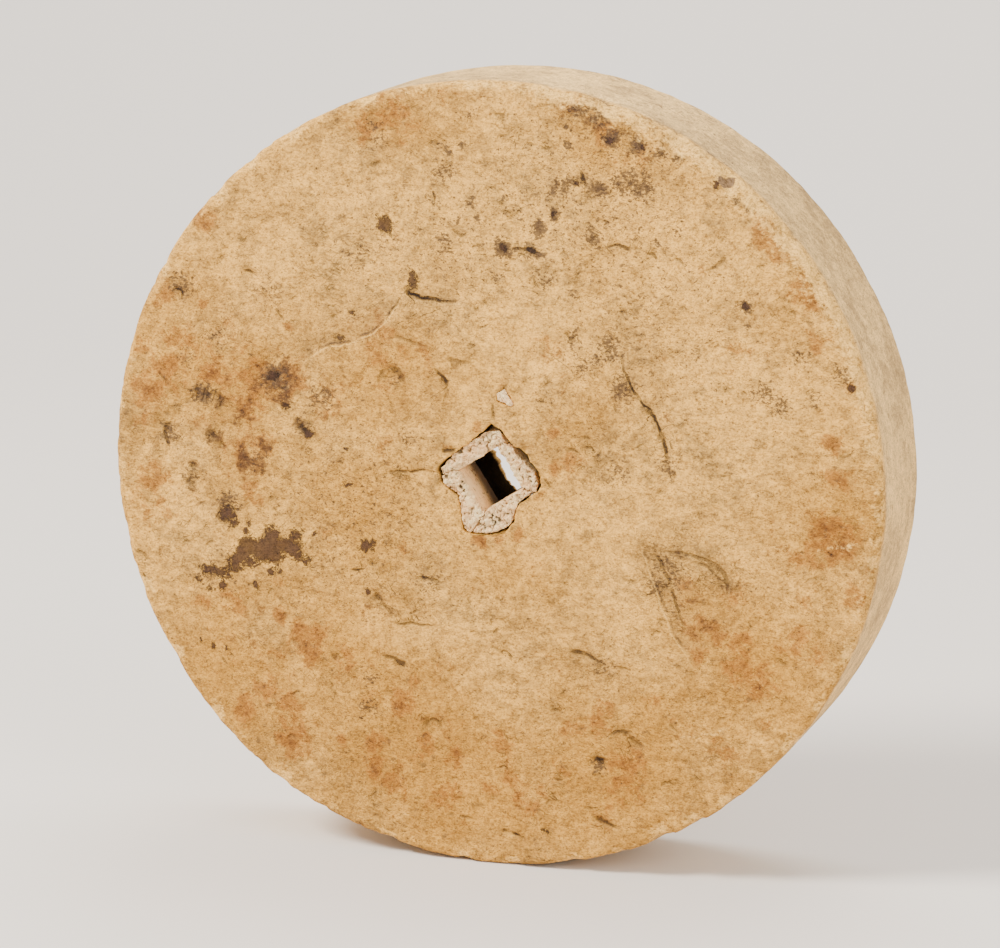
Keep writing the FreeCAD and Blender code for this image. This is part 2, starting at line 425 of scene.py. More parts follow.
ledge_offset = np.full(len(place), 30.0)
ledge_show, ledge_hollow_shade = np.zeros(len(place)), np.zeros(len(place))
for line, depth, run_out, show in LEDGES:
    signed, along = beside(line)
    signed = signed * math.copysign(1, depth)
    fade = step(along, 0.0, 0.15) * (1 - step(along, 0.85, 1.0))
    drop = step(signed, -0.9, 0.9) * np.exp(-np.maximum(signed, 0) / (0.45 * run_out))
    relief -= 1.25 * abs(depth) * fade * drop * on_front
    nearer = np.abs(signed) < np.abs(ledge_offset)
    ledge_show = np.where(nearer, show * fade, ledge_show)
    ledge_offset = np.where(nearer, signed, ledge_offset)
    ledge_hollow_shade = np.maximum(ledge_hollow_shade, show * fade * drop)
for x, z, radius, depth in HOLLOWS:
    relief -= depth * spot(x, z, radius) * on_front

# The dab's pit is sunk before the mortar goes in, so its floor lies below the dab's.
PIT = [(-4.4, 1.6), (0.0, 4.9), (2.4, 1.2), (6.0, -3.6), (4.2, -5.8), (-4.4, -2.6)]
PIT_CENTRE = (8.5, 45.0)
from_pit = place[:, ::2] - PIT_CENTRE
pit_bearing = np.arctan2(from_pit[:, 1], from_pit[:, 0])
pit_share = np.hypot(from_pit[:, 0], from_pit[:, 1]) / reach(PIT, pit_bearing)
in_pit = (1 - step(pit_share, 0.72, 0.98)) * on_front
relief -= 4.3 * in_pit

# Fine tooling and weather on the faces, coarser breakage on the arrises, and a smooth worn rim
pecked = 0.35 + 0.65 * step(-at_x - 0.3 * at_z, -30, 120)
pitting = step(rough(place, 6.5, 51, 2), 0.25, 0.85)
relief -= 0.75 * pitting * pecked * (on_front + 0.6 * on_arris) + 0.12 * pitting * on_rim
relief += 0.40 * rough(place, 9, 54, 4) * (1 - 0.45 * near_rim - 0.4 * on_rim)
upper_right = hump(bearing_of, 45, 60)
relief -= (0.5 + upper_right) * on_arris * step(rough(place, 6, 57, 4), -0.1, 0.7)
lap = np.stack([12 * bearing_of, at_y, 0 * at_y], -1)
relief += 0.12 * rough(lap, 5, 61, 3) * on_rim

# Chips bitten out of the front arris: angle, radius and depth in millimetres
CHIPS = [
    (-124, 7, 0.8), (-106, 6, 0.9), (-94, 5, 0.8), (-86, 4, 0.8), (-77, 5, 1.2), (-70, 4, 1),
    (-63, 9, 2.4), (-57, 6, 1.6), (-51, 6, 1.5), (-45, 4, 1.2), (-38, 7, 1.9), (-31, 4, 1), (-22, 5, 1.3),
    (-8, 4, 1), (9, 6, 1.4), (17, 7, 1.8), (24, 5, 1.5), (33, 6, 1.4), (41, 8, 1.9), (52, 7, 1.6),
    (61, 9, 2), (72, 8, 1.8), (80, 10, 2), (93, 6, 1.3), (108, 5, 1.2), (121, 6, 1.6), (129, 5, 1.3),
    (136, 6, 1.5), (150, 5, 1.2), (172, 4, 0.6), (-160, 7, 0.6), (-149, 6, 0.8), (-138, 6, 0.5),
]
bitten = np.zeros(len(place))
lumps = 1.0 + 0.35 * rough(place, 6, 71, 2)
for bearing, radius, depth in CHIPS:
    turn = math.radians(bearing)
    edge_radius = WHEEL_RADIUS - 1.2
    centre = np.array([edge_radius * math.cos(turn), -FACE_DEPTH + 1.2, edge_radius * math.sin(turn)])
    far = np.linalg.norm(place - centre, axis=1) / radius * lumps
    bite = np.clip(1 - far**2, 0, 1)
    relief -= depth * bite
    bitten = np.maximum(bitten, bite)

# The walls of the eye are rough, and so is the lip round its near mouth.
relief += 0.25 * rough(place, 5, 77, 3) * (kind == 4)
mouth_far = from_axis - reach(EYE_MOUTH, bearing_of)
lip = np.exp(-np.maximum(mouth_far, 0) / 2.2) * on_front
relief -= 1.5 * lip * step(rough(place, 5, 78, 3), -0.35, 0.6)

stone_shape = (place + relief[:, None] * outward).reshape(grid_shape)
stone = closed_grid("stone_body", stone_shape, wrap_rings=True)

# ---------------------------------------------------------------------------------------------------
# The stone's stains and its finish.
# Fine buff grit with faint bedding; iron in it and on it has rusted in blotches, soot and lichen have
# left grey speckle, and one spill has dried to a dark brown crust. Broken edges show clean pale stone.
# Shade in the eye, in the cracks and in the flakes' hollows is painted into the colour.

# Rust: for each strength, the x, z and radius of its spots
RUST = {
    1.0: [(-112, 75.5, 3.5), (-192, 36, 13), (-113, 45, 13), (-103, -94, 13), (-110, -150, 14),
          (-65, -162, 9), (186, -17, 15), (145, 141, 9), (16, -28, 5), (-4, -33, 6), (150, 134, 12)],
    0.9: [(-158, 130, 10), (-183, 49, 12), (-136, 2, 14), (-189, -11, 9), (-138, -136, 9), (-83, -149, 5),
          (-65, -148, 8), (-18, -154, 8), (-56, -169, 11), (78, -147, 10), (64, -178, 8), (198, -48, 9),
          (124, -131, 5), (184, 33, 9), (174, 81, 6), (169, 108, 11), (37, 9, 6), (36, 26, 6),
          (-66, 182, 9)],
    0.8: [(-160, 84, 5), (-158, 48, 7), (-128, 47, 11), (-135, -12, 8), (-96, -92, 6), (-128, -125, 8),
          (-111, -132, 10), (-164, -78, 8), (-51, -124, 10), (-24, -173, 9), (12, -162, 6), (16, -170, 7),
          (132, -52, 7), (113, -70, 9), (124, -72, 8), (138, -75, 7), (169, -72, 9), (80, -146, 10),
          (187, 12, 12), (156, 128, 8), (45.7, 12, 8), (4, -31, 5), (-8, 27, 4), (-22, 15, 5)],
    0.7: [(-182, 90, 12), (-137, 30, 12), (-195, -31, 11), (-119, -84, 8), (-144, -77, 9), (-66, -125, 7),
          (-34, -147, 8), (60, -128, 9), (64, -119, 7), (135, -90, 9), (114, -84, 8), (173, -51, 9),
          (165, -78, 8), (177, -80, 9), (42, 58, 8), (8, 52, 5), (-53, 192, 13), (-47, -39, 5)],
    0.6: [(-195, 60, 8), (-194, 22, 8), (-124, 12, 10), (-184, -29, 10), (-130, -20, 5), (-117, -64, 7),
          (-150, -70, 6), (-78, -104, 14), (-44, -114, 7), (5, -142, 10), (0, -169, 7), (23, -175, 11),
          (47, -131, 9), (40, -156, 9), (104, -50, 12), (170, -28, 8), (147, -98, 15), (108, -123, 8),
          (132, -137, 12), (151, -121, 7), (192, 62, 6), (183, 92, 8), (28, 74, 9), (28, -7, 6),
          (-22, 203, 9), (44, 196, 8), (-90, 37, 13)],
    0.5: [(-174, 64, 12), (-90, -38, 8), (75, -163, 16), (113, 116, 6), (135, 76, 14), (34, 70, 10),
          (-42, 184, 9), (-46, 172, 5), (84, 176, 12), (-40, 66, 14), (-58, 14, 8), (92, -112, 9)],
    0.45: [(-62, 70, 22)],
    0.4: [(62, 188, 14), (36, -95, 6), (-28, -104, 9)],
    0.3: [(28, -45, 8)],
}
# Brown: darker, older iron
BROWN = {
    1.0: [(-118, 46, 13), (-119, 47, 8), (-100, 19, 5), (-181, 9, 5), (-146, -30, 7)],
    0.9: [(-112, 36, 7), (-136, 1, 12), (-114, 32, 6), (-106, 23, 4), (-150, 32, 4), (62, 196, 10),
          (78, 181, 8)],
    0.8: [(-128, -1, 8), (-159, 36, 9), (-155, 14, 9), (-181, 12, 8), (-184, 18, 5), (-124, 11, 6),
          (-77, -9, 5), (70, 186, 8), (46, 194, 9), (130, -47, 6)],
    0.7: [(-168, -12, 8), (-141, 26, 9), (54, 190, 9), (88, 176, 9), (88, -31, 7)],
    0.6: [(-148, -22, 9), (-137, 27, 9), (-167, -6, 6), (26, 122, 6), (60, 156, 5), (-63, -70, 7)],
    0.5: [(-92, 39, 8), (-155, -24, 7), (100, -36, 10), (85, 125, 5), (-52, -77, 6), (-60, 5, 5),
          (114, 122, 5)],
    0.4: [(-95, -52, 7)],
    0.25: [(112, -62, 24)],
}
# Grey speckle, soot and lichen
SPECKLE = {
    1.9: [(25.6, 136.6, 3.6), (7.2, 122.7, 5.6)],
    1.7: [(34.8, 142.9, 3.8)],
    1.6: [(26.6, 133.8, 5.6), (90.4, 129.4, 2.2)],
    1.5: [(66, 181.8, 5.6), (131.5, 152.8, 2.6), (136.2, 100.8, 3.4)],
    1.4: [(43.3, 186.2, 3.2), (137.8, 149, 2.8), (137.5, 91, 2.4)],
    1.3: [(-6.5, 138.6, 2.6), (-22.4, 171, 3.2), (22.6, 123.2, 5), (43.3, 178.3, 2.6)],
    1.25: [(-8.7, 145.8, 4.4)],
    1.2: [(-13.8, 175.4, 2.4), (58.4, 156.6, 6.4), (68.6, 160, 5.6), (80, 179.4, 6.4)],
    1.1: [(14.6, 123.4, 3.4), (26.6, 120.2, 4.4), (43, 159, 5), (50, 161.4, 4), (82, 156, 8),
          (63.9, 138.8, 2.4)],
    1.05: [(76, 163, 8.4)],
    1.0: [(-17.4, 137, 2.4), (39, 156, 8.4), (35, 153, 5), (55.6, 131.6, 6.4), (44.8, 101.8, 3),
          (92, 176, 6)],
    0.95: [(8.6, 150, 4), (72, 53, 9)],
    0.9: [(73, 156, 6), (84, 164, 5), (100, 174, 5), (66, 74, 9), (-181, 12, 8), (60, 196, 12), (190, 68, 8),
          (61, -149.6, 6), (-146, -22, 9), (-160, 36, 9), (-119, 48, 12)],
    0.85: [(-25, 161, 8)],
    0.8: [(-24.6, 123.6, 8), (101, 138, 3.6), (148, 55, 9), (156, 50, 8), (50, 63, 7), (97, 14, 8),
          (-92, 39, 10), (58, 67, 7), (46, 78, 7), (93, -48, 10), (-172, 94, 9), (97, 193, 10), (48, 196, 9),
          (-104, 21, 6)],
    0.7: [(-30.4, 147.3, 4.6), (-26, 174.6, 4.6), (31, 107.6, 7.6), (69, 106, 5), (166, 75, 8), (174, 54, 7),
          (-152, 67, 8), (-68, -130, 8), (-67, -112, 7), (113, 178, 9), (96, -40, 9)],
    0.6: [(-8, 191, 5), (15, 141.6, 6.6), (5, 107.5, 6), (117.5, 129.6, 4.4), (72, 9, 9), (-169, 56, 7),
          (-44, 19, 8), (-160, -64, 12), (-35, -57, 10), (64, -96, 9), (100, -44, 14), (-166, -8, 9),
          (-52, 52, 7)],
    0.5: [(-71, 115, 12), (-121, 95, 12), (100, -60, 8), (-74, 82, 7), (-60, 180, 10), (-130, 4, 10)],
    0.4: [(30, 44, 8), (-150, -60, 16)],
    0.34: [(60, 150, 62)],
    0.3: [(-72, -22, 62), (140, -50, 8)],
    0.22: [(90, 90, 56), (-20, 125, 50)],
}
# The dried spill, in three patches
SPILL = [
    [(-141, -45), (-140, -41.5), (-133, -41), (-127, -39.5), (-124.5, -34), (-120, -34.5), (-115, -39.5),
     (-111, -39), (-110.5, -34.5), (-104.5, -32), (-106.5, -38.5), (-108, -41.5), (-104.5, -43.5),
     (-105, -47), (-100, -52), (-102, -54), (-107, -51), (-112, -50), (-116, -49.5), (-119, -54.5),
     (-125, -53), (-129, -53.5), (-134, -53), (-140, -56), (-145, -60), (-149, -58.5), (-147, -53)],
    [(-163, -57), (-158, -57), (-152, -58), (-147, -58), (-147, -62), (-152, -63), (-156, -62), (-160, -61)],
    [(-151.5, -28.5), (-148.4, -24), (-145, -25), (-143, -29), (-142.4, -34), (-145, -36), (-147.4, -32.6)],
]
# Dark crusty spots: x, z, half width, half height, lean
CRUST = [
    (-166, -66, 4.5, 1.8, 10), (-158, -72, 4, 1.8, -20), (-150, -68, 3, 5, -30), (-161, -60, 5, 3, 0),
    (-98, -37, 3, 2.4, 30), (-122, -59, 5, 3.6, 0), (-131, -67, 3.4, 3, 0), (-137, -33, 3, 1.8, -30),
    (-127, -59.5, 2.5, 1.8, 0), (-136, -37, 2.4, 2, 0), (-116, -57, 2.4, 1.6, -40),
    (-68, -39.5, 6.5, 6.5, 0), (-57, 132.2, 8.2, 8.4, 0), (-42.4, 104.4, 7, 8, 0),
    (7.6, 123.2, 3.2, 2.8, 0), (34.8, 143, 2.8, 2.4, 0), (22.6, 123.4, 2.8, 1.6, 0),
    (65.8, 182, 3, 3.2, -30), (136.3, 100.8, 3.2, 2.6, 0), (-83, 70.6, 3.4, 2.4, 20),
    (-157, -103, 2.8, 2.6, 0), (-164, -101, 2.4, 2, 0), (-151, -102, 2.2, 2.2, 0), (193.5, 61, 3, 4, 0),
    (32.6, -188, 2.2, 2.6, 0), (-66, -65, 3.2, 2.8, 0), (-100.6, 19, 4, 3.6, 20), (47, 158, 3.4, 2.4, 40),
    (-79, -9.6, 3.6, 2.2, 20), (-76.5, 84.6, 1.8, 2.3, 0), (-120, 49, 5, 5, 0), (-114.4, 33, 3.4, 4.4, 0),
    (82, 178.6, 3.4, 2.2, -30), (-81, 12, 2.4, 2.4, 0), (121.4, 161.6, 2.4, 4.6, 10),
]
# Where the iron is thickest in the stone
RUSTY = {
    0.42: [(-152, 42, 72)],
    0.3: [(182, -20, 48)],
    0.26: [(-120, -108, 70)],
    0.25: [(-58, 190, 42)],
    0.22: [(135, -78, 50), (70, 188, 45), (-62, 62, 45), (-190, -10, 36)],
    0.2: [(-185, 60, 40), (-40, -145, 80)],
    0.18: [(172, 100, 40)],
    0.16: [(60, -140, 60), (36, 14, 32)],
    0.14: [(-10, -45, 32)],
}
# Broad washes: yellower ground, and ground that stayed pale
OCHRE = {
    0.9: [(-150, 40, 75), (-40, -150, 90), (188, 0, 45)],
    0.8: [(-58, 52, 62), (70, -150, 80), (140, -85, 70), (-72, -18, 58)],
    0.7: [(-185, 80, 40), (-150, -115, 75), (60, 190, 60)],
    0.6: [(-120, 20, 50), (-50, 190, 40)],
    0.5: [(170, 100, 45), (-90, -90, 70)],
    0.4: [(40, 30, 50), (0, -40, 50)],
}
PALLID = {
    1.0: [(-168, -38, 30)],
    0.9: [(-175, -20, 22)],
    0.8: [(-165, 4, 22)],
    0.7: [(8, -104, 42), (130, 60, 50)],
    0.6: [(-70, 130, 60), (20, 90, 60), (-130, -88, 22), (-12, 20, 14), (30, 165, 50)],
    0.5: [(100, -10, 50), (120, 130, 50), (70, -60, 40)],
    0.4: [(-20, -72, 45)],
}
# A grey ironstone nodule in the arris at the upper right
NODULE = (126.4, 163.2, 6.6, 6.2, -25)


def gathered(marks, spread=1.0):
    """The strongest of the spots, which are listed by their strength."""
    total = np.zeros(len(place))
    for strength, spots in marks.items():
        for x, z, radius in spots:
            total = np.maximum(total, strength * spot(x, z, radius * spread))
    return total


front_side = on_front + on_arris
wander_x += 2.0 * rough(place, 12, 82, 4)
wander_z += 2.0 * rough(place, 12, 92, 4)
region = gathered(RUSTY)
rust = (gathered(RUST, 1.4) + region + 0.9 * region * rough(place, 16, 86, 4)) * front_side
low_and_left = step(-at_z - 0.25 * at_x, -60, 200)
rust += 0.22 * step(rough(place, 24, 85, 4), 0.0, 0.8) * (0.3 + 0.7 * low_and_left) * (1 - 0.7 * on_rim)
brown = (gathered(BROWN, 1.45) + 0.9 * region * step(rough(place, 18, 90, 4), 0.0, 0.9)) * front_side
speckle = gathered(SPECKLE, 1.35) * front_side + 0.10
speckle += 0.30 * on_rim * step(at_z, 100, 210) * step(rough(place, 22, 84, 3), -0.1, 0.6)
speckle += 0.35 * (kind == 3) * step(rough(place, 50, 87, 3), 0.0, 0.7)
crust = np.zeros(len(place))
for patch in SPILL:
    signed, along = beside(patch + patch[:1])
    corners = np.array(patch + patch[:1])
    crossed = np.zeros(len(place), bool)
    for (ax, az), (bx, bz) in zip(corners[:-1], corners[1:]):
        between = (az > wander_z) != (bz > wander_z)
        crossed ^= between & (wander_x < (bx - ax) * (wander_z - az) / (bz - az + 1e-9) + ax)
    crust = np.maximum(crust, np.clip(0.40 + np.where(crossed, 1, -1) * np.abs(signed) / 7, 0, 1) * on_front)
for x, z, width, height, lean in CRUST:
    crust = np.maximum(crust, spot(x, z, width, height, lean) * on_front)
nodule = spot(*NODULE) * front_side
scratch = np.zeros(len(place))
for line, width in SCRATCHES:
    signed, along = beside(line)
    fade = step(along, 0.0, 0.3) * (1 - step(along, 0.7, 1.0))
    scratch = np.maximum(scratch, fade * np.exp(-((signed / width) ** 2)) * on_front)

edge_band = step(from_axis, WHEEL_RADIUS - 8, WHEEL_RADIUS - 3) * near_front * (1 - on_rim)
upper_right = hump(bearing_of, 45, 42)
ragged = 0.55 + 0.8 * rough(place, 7, 88, 3)
pale = edge_band * (0.30 + 0.95 * upper_right) * ragged + 0.7 * bitten * near_front
wide_band = step(from_axis, WHEEL_RADIUS - 17, WHEEL_RADIUS - 8) * near_front * (1 - on_rim)
pale += 0.30 * wide_band * upper_right
pale = np.maximum(pale, 0.45 * scratch)
yellow = 0.30 + 0.20 * step(-at_z, -80, 190) + 0.22 * rough(place, 40, 89, 3)
yellow += (0.55 * gathered(OCHRE) - 0.45 * gathered(PALLID)) * front_side

add_layer(stone, "stain", np.clip(rust, 0, 1), np.clip(brown, 0, 1), np.clip(speckle, 0, 2))
add_layer(stone, "mark", np.clip(crust, 0, 1), np.clip(pale, 0, 1), np.clip(on_rim, 0, 1))
crack_side = 0.5 + np.clip(crack_offset, -8, 8) / 16
add_layer(stone, "line", crack_side, crack_show * on_front, np.clip(nodule, 0, 1))
# The eye's walls are painted near black from a few millimetres inside the mouth: painted shade.
behind = at_y + FACE_DEPTH
eye_painted_shade = (kind == 4) * np.interp(behind, (1, 5, 24, 28, 33, 48), (0, 0.95, 0.95, 0.86, 0.92, 1))
add_layer(stone, "tone", np.clip(yellow, 0, 1), np.clip(ledge_hollow_shade, 0, 1), 0.98 * eye_painted_shade)
ledge_side = 0.5 + np.clip(ledge_offset, -8, 8) / 16
add_layer(stone, "ledge", ledge_side, ledge_show * on_front, on_front)


class Shade:
    """What varies over a surface: a node's output that plain sums can be written with."""

    def __init__(self, finish, socket):
        self.finish, self.socket = finish, socket

    def __add__(self, other):
        return self.finish.sum("ADD", self, other)

    def __sub__(self, other):
        return self.finish.sum("SUBTRACT", self, other)

    def __mul__(self, other):
        return self.finish.sum("MULTIPLY", self, other)

    def __rsub__(self, other):
        return self * -1.0 + other

    def __abs__(self):
        return self.finish.sum("ABSOLUTE", self)

    __radd__, __rmul__ = __add__, __mul__

    def rise(self, low, high, bottom=0.0, top=1.0):
        """bottom below low and top above high, with a smooth rise between."""
        node = self.finish.nodes.new("ShaderNodeMapRange")
        node.interpolation_type = "SMOOTHSTEP"
        for key, number in zip(("From Min", "From Max", "To Min", "To Max"), (low, high, bottom, top)):
            node.inputs[key].default_value = number
        self.finish.put(node.inputs["Value"], self)
        return Shade(self.finish, node.outputs["Result"])


class Finish:
    """A material's nodes. Its colours are laid one over another as they are made."""

    def __init__(self, name):
        self.material = bpy.data.materials.new(name)
        self.material.use_nodes = True
        self.nodes, self.links = self.material.node_tree.nodes, self.material.node_tree.links
        self.shader = self.nodes["Principled BSDF"]
        self.coordinates = self.nodes.new("ShaderNodeTexCoord").outputs["Object"]
        self.colour = None

    def put(self, socket, value):
        """Joins a shade to a socket, or sets the socket to a colour or a number."""
        if isinstance(value, Shade):
            self.links.new(value.socket, socket)
        else:
            socket.default_value = (*value, 1.0) if isinstance(value, tuple) else value

    def layer(self, name):
        """The three values of a layer that the mesh carries."""
        read = self.nodes.new("ShaderNodeAttribute")
        read.attribute_name = name
        split = self.nodes.new("ShaderNodeSeparateColor")
        self.links.new(read.outputs["Color"], split.inputs["Color"])
        return [Shade(self, socket) for socket in split.outputs]

    def grain(self, cell, detail=3.0, roughness=0.55, stretch=(1, 1, 1), warp=0.0):
        """Noise from 0 to 1, about one cell long in millimetres, longer where its stretch is above 1."""
        spread = self.nodes.new("ShaderNodeMapping")
        spread.inputs["Scale"].default_value = tuple(1 / (cell * MM * s) for s in stretch)
        self.links.new(self.coordinates, spread.inputs["Vector"])
        noise = self.nodes.new("ShaderNodeTexNoise")
        for key, number in zip(("Scale", "Detail", "Roughness", "Distortion"), (1, detail, roughness, warp)):
            noise.inputs[key].default_value = number
        self.links.new(spread.outputs["Vector"], noise.inputs["Vector"])
        return Shade(self, noise.outputs["Fac"])

    def sum(self, kind, *values):
        node = self.nodes.new("ShaderNodeMath")
        node.operation = kind
        for socket, value in zip(node.inputs, values):
            self.put(socket, value)
        return Shade(self, node.outputs[0])

    def mix(self, share, under, over, blend="MIX"):
        node = self.nodes.new("ShaderNodeMix")
        node.data_type = "RGBA"
        node.blend_type = blend
        for key, value in zip(("Factor", "A", "B"), (share, under, over)):
            self.put(node.inputs[key], value)
        return Shade(self, node.outputs["Result"])

    def lay(self, over, share, blend="MIX"):
        """Lays a colour over what is there, as thickly as its share of 1."""
        self.colour = self.mix(share, self.colour, over, blend)

    def done(self, roughness, shine, height, depth):
        """The material, with bump from a height of 0 to 1 that stands for that many millimetres."""
        bump = self.nodes.new("ShaderNodeBump")
        bump.inputs["Distance"].default_value = depth * MM
        self.put(bump.inputs["Height"], height)
        values = {"Roughness": roughness, "Specular IOR Level": shine, "Base Color": self.colour}
        for key, value in values.items():
            self.put(self.shader.inputs[key], value)
        self.links.new(bump.outputs["Normal"], self.shader.inputs["Normal"])
        return self.material


def rgb(red, green, blue):
    """A colour as it is mixed, from the 0 to 255 shades that a paint card gives."""
    shades = np.array([red, green, blue]) / 255
    mixed = np.where(shades > 0.04045, ((shades + 0.055) / 1.055) ** 2.4, shades / 12.92)
    return tuple(mixed.tolist())


BUFF_LIGHT = rgb(251, 190, 90)
BUFF_DEEP = rgb(136, 106, 60)
BUFF_YELLOW = rgb(198, 138, 44)
RUST_COLOUR = rgb(160, 98, 30)
RUST_DEEP = rgb(112, 64, 26)
BROWN_COLOUR = rgb(72, 48, 32)
SOOT_COLOUR = rgb(88, 66, 46)
SMUDGE_COLOUR = rgb(120, 93, 58)
CRUST_COLOUR = rgb(66, 43, 33)
CRUST_DARK = rgb(56, 34, 21)
PALE_COLOUR = rgb(255, 201, 108)
RIM_LIGHT = rgb(255, 211, 136)
RIM_DEEP = rgb(184, 150, 97)
NODULE_COLOUR = rgb(112, 88, 72)
CRACK_SHADE_COLOUR = rgb(44, 28, 17)
EYE_SHADE_COLOUR = rgb(9, 6, 4)
GRAIN_SHADE, GRAIN_LIGHT = rgb(181, 174, 161), rgb(255, 255, 255)


def sandstone():
    """Buff grit coloured by mottling and bedding, then by each stain in turn, and by painted shade and
    highlights; the rim is greyer and painted brighter.
    """
    finish = Finish("sandstone")
    rust_at, brown_at, speckle_at = finish.layer("stain")
    crust_at, pale_at, rim_at = finish.layer("mark")
    line_at, line_show, nodule_at = finish.layer("line")
    yellow_at, ledge_hollow_shade_at, eye_shade_at = finish.layer("tone")
    ledge_at, ledge_show, unused = finish.layer("ledge")

    sand = finish.grain(0.8, 2, 0.75, (1.5, 1, 1))
    grit = finish.grain(2.0, 3, 0.7, (1.4, 1, 1))
    mottle = finish.grain(7, 6, 0.62, (1.2, 1, 1), 0.3)
    cloud = finish.grain(46, 4, 0.55)
    bedding = finish.grain(3.2, 4, 0.62, (2.6, 2, 1), 0.3)
    blotch = 3.0 * (finish.grain(6.0, 6, 0.70, (1.1, 1, 1), 0.3) - 0.5)

    tone = 0.62 * mottle + 0.33 * cloud + 0.30 * bedding + 0.13 * yellow_at - 0.055
    finish.colour = finish.mix(tone.rise(0.46, 0.88), BUFF_LIGHT, BUFF_DEEP)
    yellow = yellow_at + 0.5 * (mottle - 0.5)
    finish.lay(BUFF_YELLOW, yellow.rise(0.1, 1.0, top=0.70))
    streak = finish.grain(2.6, 4, 0.68, (3, 2, 1), 0.4)
    finish.lay(SMUDGE_COLOUR, streak.rise(0.56, 0.72, top=0.30))
    # The rim has its own greyer tone, set brighter than its stone to make up for the light it gets: partly
    # painted light.
    rim_tone = 0.5 * (cloud + mottle)
    finish.lay(finish.mix(rim_tone.rise(0.36, 0.66), RIM_LIGHT, RIM_DEEP), 0.9 * rim_at)

    rust = rust_at + blotch
    finish.lay(RUST_COLOUR, rust.rise(0.30, 0.90, top=0.68))
    finish.lay(RUST_DEEP, rust.rise(0.85, 1.35, top=0.62))
    brown = brown_at + blotch
    finish.lay(BROWN_COLOUR, brown.rise(0.30, 0.95, top=0.75))

    smudge = speckle_at + 0.7 * blotch
    finish.lay(SMUDGE_COLOUR, smudge.rise(0.45, 1.5, top=0.45))
    soot = 0.26 * speckle_at + finish.grain(1.5, 2, 0.65, (1.3, 1, 1))
    finish.lay(SOOT_COLOUR, soot.rise(0.67, 0.74, top=0.80))
    dimple = finish.grain(3.2, 4, 0.72, (1.5, 1, 1), 0.5) + 0.25 * (cloud - 0.5) + 0.10 * speckle_at
    finish.lay(SOOT_COLOUR, dimple.rise(0.59, 0.69, top=0.55) * (1 - 0.55 * rim_at))

    clean = 2.0 * grit + pale_at - 1.0
    finish.lay(PALE_COLOUR, clean.rise(0.15, 0.95, top=0.88))
    nodule = nodule_at + 0.25 * blotch
    finish.lay(NODULE_COLOUR, nodule.rise(0.28, 0.42, top=0.85))

    torn = crust_at + 3.0 * (finish.grain(3.6, 6, 0.85, warp=1.0) - 0.5)
    finish.lay(SMUDGE_COLOUR, torn.rise(0.10, 0.40, top=0.12) * crust_at.rise(0.02, 0.15))
    crusted = torn.rise(0.26, 0.48) * crust_at.rise(0.02, 0.10, top=0.90)
    lumpy = torn + 2.2 * (mottle - 0.5)
    finish.lay(finish.mix(lumpy.rise(0.30, 0.90), CRUST_DARK, CRUST_COLOUR), crusted)

    # A ledge has a dark foot, painted shadow with some dirt in it, and a pale lip, painted highlight where
    # the step faces the light. The hollow behind it is darkened too, as painted shade.
    ledge = 16.0 * (ledge_at - 0.5) + grit - 0.5
    finish.lay(SMUDGE_COLOUR, 0.30 * ledge_hollow_shade_at)
    shadow = abs(ledge - 0.5).rise(0.1, 1.0, 1.0, 0.0) * ledge_show
    finish.lay(SOOT_COLOUR, shadow * mottle.rise(0.40, 0.58, 0.1, 0.9))
    finish.lay(PALE_COLOUR, abs(ledge + 0.9).rise(0.0, 0.65, 0.6, 0.0) * ledge_show)

    # A crack is drawn dark inside, dirt and painted shade in its groove, with a soft dark band beside it and
    # a pale lip on one side, clean stone and painted highlight.
    offset = 16.0 * (line_at - 0.5) + 1.3 * grit - 0.65
    far = abs(offset)
    shown = line_show * mottle.rise(0.30, 0.52, 0.35, 1.0)
    crack_and_shade = far.rise(0.18, 0.88, 1.0, 0.0) * shown
    finish.lay(SOOT_COLOUR, 0.30 * far.rise(0.3, 3.2, 1.0, 0.0) * shown)
    finish.lay(PALE_COLOUR, abs(offset + 1.25).rise(0.0, 0.7, 0.18, 0.0) * shown)
    finish.lay(CRACK_SHADE_COLOUR, 0.92 * crack_and_shade)

    # The walls of the eye are painted near black from a few millimetres in: painted shade in the hole.
    finish.lay(EYE_SHADE_COLOUR, eye_shade_at)
    shine = 0.25 - 0.25 * eye_shade_at
    grains = 0.55 * sand + 0.45 * grit
    finish.lay(finish.mix(grains.rise(0.34, 0.60), GRAIN_SHADE, GRAIN_LIGHT), 1.0, "MULTIPLY")

    pores = finish.grain(2.2, 2, 0.6).rise(0.60, 0.72)
    height = 0.16 * sand + 0.34 * grit + 0.80 * mottle + 0.15 * bedding - 0.35 * pores
    height = height - 0.9 * crack_and_shade + 0.25 * crusted
    return finish.done(grit.rise(0.3, 0.7, 0.82, 0.96), shine, height * (1 - 0.7 * rim_at), 1.5)


stone.data.materials.append(sandstone())
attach(stone, "root")
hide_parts("stone_wheel")

# ---------------------------------------------------------------------------------------------------
# The packing.
# Lime mortar with coarse sand, poured round a square iron spindle that had been wedged in the eye. It
# shrank from the stone, cracked at its corners, and kept the print of the spindle when that was drawn.

SPINDLE_SIDE, SPINDLE_TURN = 25.4, 33.0
PACKING_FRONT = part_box("packing_upper_left")[0].y / MM
PACKING_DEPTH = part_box("packing_upper_left")[1].y / MM - PACKING_FRONT
